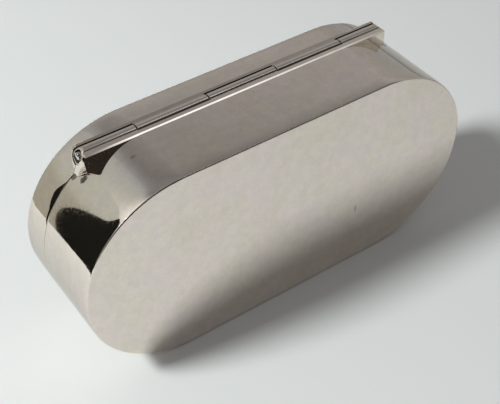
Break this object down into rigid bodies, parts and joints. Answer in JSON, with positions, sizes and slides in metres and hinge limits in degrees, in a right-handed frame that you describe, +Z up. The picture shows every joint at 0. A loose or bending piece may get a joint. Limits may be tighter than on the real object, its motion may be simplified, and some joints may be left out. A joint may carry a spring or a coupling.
{
  "type": "snuff box",
  "caption": "Flat pocket box with straight sides and half-round ends, and a shallow lid on a long knuckled hinge along one side.",
  "frame": {"origin": "middle of the footprint of the box standing on its long front side, as in the picture", "axes": "+X along the box, +Y from the base plate to the lid plate, +Z up from the front side to the hinge side"},
  "size_m": [0.085, 0.023, 0.0419],
  "materials": {
    "polished_silver": "polished",
    "inner_silver": "satin",
    "hinge_pin": "drawn wire"
  },
  "bodies": {
    "body": {"base_plate": "polished_silver", "body_wall": "polished_silver", "body_bezel": "inner_silver", "body_bearer": "polished_silver", "hinge_knuckle_1": "polished_silver", "hinge_knuckle_3": "polished_silver", "hinge_knuckle_5": "polished_silver", "hinge_pin": "hinge_pin"},
    "lid": {"lid_plate": "polished_silver", "lid_wall": "polished_silver", "lid_bearer": "polished_silver", "hinge_knuckle_2": "polished_silver", "hinge_knuckle_4": "polished_silver"}
  },
  "joints": [
    {"name": "lid_hinge", "type": "hinge", "parent": "body", "child": "lid", "pos_m": [0, 0.00462, 0.04043], "axis": [1, 0, 0], "range_deg": [0, 90]}
  ]
}
